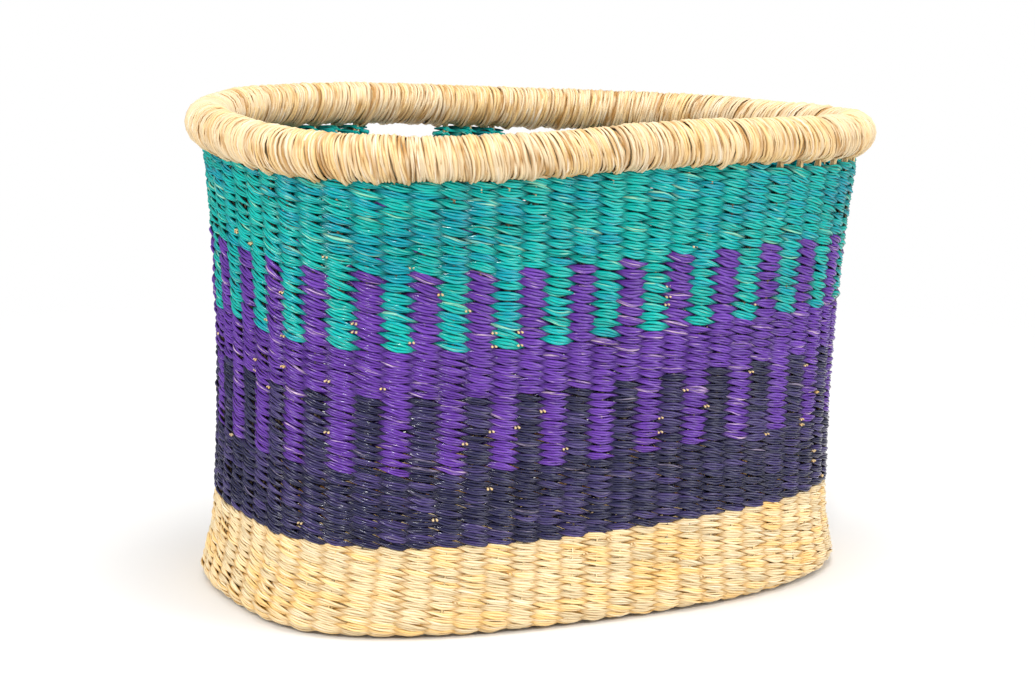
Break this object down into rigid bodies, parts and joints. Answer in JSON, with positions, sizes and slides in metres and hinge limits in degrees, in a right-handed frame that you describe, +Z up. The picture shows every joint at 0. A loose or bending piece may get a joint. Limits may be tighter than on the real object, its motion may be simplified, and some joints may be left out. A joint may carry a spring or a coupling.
{
  "type": "bolga basket",
  "caption": "Rounded twined grass basket with striped colour zones, a flat woven floor, two strap slots in the back wall and a thick wrapped straw rim.",
  "frame": {"origin": "middle of the basket's box, on the floor it stands on", "axes": "+X across the basket, to the right when seen from the front; +Y towards the wall with the strap slots; +Z up"},
  "size_m": [0.3794, 0.2714, 0.2683],
  "materials": {
    "natural_straw": "undyed twined elephant grass, dry and satin",
    "navy_grass": "dark blue dyed twined grass with purple tints, satin",
    "purple_grass": "purple dyed twined grass, satin",
    "teal_grass": "teal dyed twined grass with bluer and greener strands, satin",
    "rim_straw": "fine cream to tan straw strand wound tightly round the rim, satin",
    "stake_straw": "bundled undyed straw stems, matt"
  },
  "bodies": {
    "root": {"base_floor": "natural_straw", "natural_band": "natural_straw", "navy_band": "navy_grass", "purple_band": "purple_grass", "teal_band": "teal_grass", "rim_core": "stake_straw", "rim_wrap": "rim_straw", "stake_01": "stake_straw", "stake_02": "stake_straw", "stake_03": "stake_straw", "stake_04": "stake_straw", "stake_05": "stake_straw", "stake_06": "stake_straw", "stake_07": "stake_straw", "stake_08": "stake_straw", "stake_09": "stake_straw", "stake_10": "stake_straw", "stake_11": "stake_straw", "stake_12": "stake_straw", "stake_13": "stake_straw", "stake_14": "stake_straw", "stake_15": "stake_straw", "stake_16": "stake_straw", "stake_17": "stake_straw", "stake_18": "stake_straw", "stake_19": "stake_straw", "stake_20": "stake_straw", "stake_21": "stake_straw", "stake_22": "stake_straw", "stake_23": "stake_straw", "stake_24": "stake_straw", "stake_25": "stake_straw", "stake_26": "stake_straw", "stake_27": "stake_straw", "stake_28": "stake_straw", "stake_29": "stake_straw", "stake_30": "stake_straw", "stake_31": "stake_straw", "stake_32": "stake_straw"}
  },
  "joints": []
}
